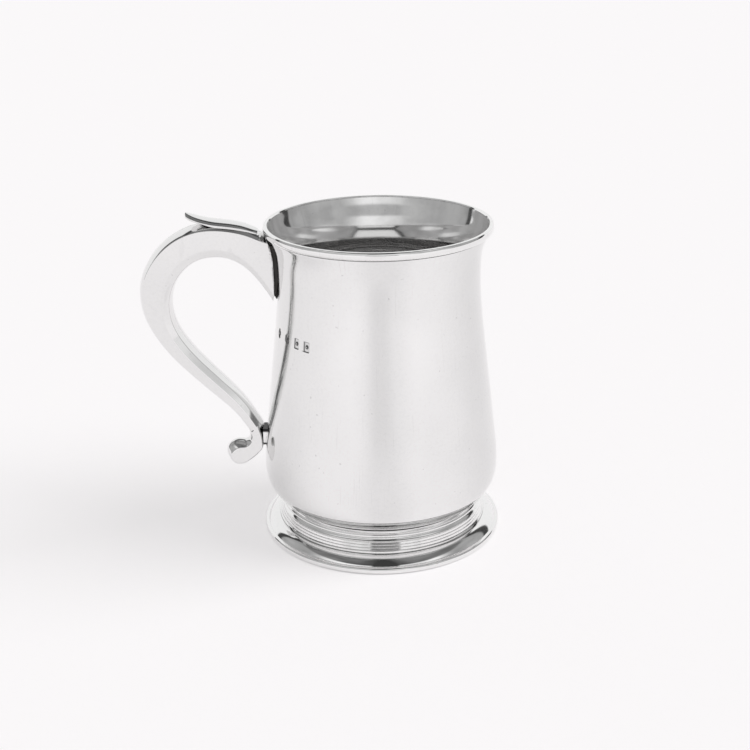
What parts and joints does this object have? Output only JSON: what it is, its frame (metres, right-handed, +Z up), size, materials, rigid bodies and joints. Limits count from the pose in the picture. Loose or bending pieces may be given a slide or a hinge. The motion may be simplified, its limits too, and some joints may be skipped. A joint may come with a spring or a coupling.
{
  "type": "tankard",
  "caption": "Lidless polished pewter baluster mug with a flared moulded rim, stepped spreading foot, hollow scroll handle and curled thumb leaf.",
  "frame": {"origin": "on the mug's axis, in the plane of the foot's underside", "axes": "+Z up along the mug's axis, handle along -X in the plane y = 0, so +X points away from the handle"},
  "size_m": [0.1396, 0.0952, 0.1294],
  "materials": {
    "body_metal": "polished pewter, fine spun and cleaning scratches",
    "trim_metal": "polished pewter, dark in the grooves",
    "handle_metal": "polished cast pewter",
    "joint_metal": "dulled solder-coloured pewter"
  },
  "bodies": {
    "root": {"body": "body_metal", "lip_moulding": "trim_metal", "neck_bead": "trim_metal", "reeded_ring": "trim_metal", "foot_flange": "trim_metal", "base_wire": "trim_metal", "handle_front_half": "handle_metal", "handle_back_half": "handle_metal", "handle_scroll": "handle_metal", "thumb_leaf": "handle_metal", "upper_socket": "joint_metal", "lower_socket": "joint_metal"}
  },
  "joints": []
}
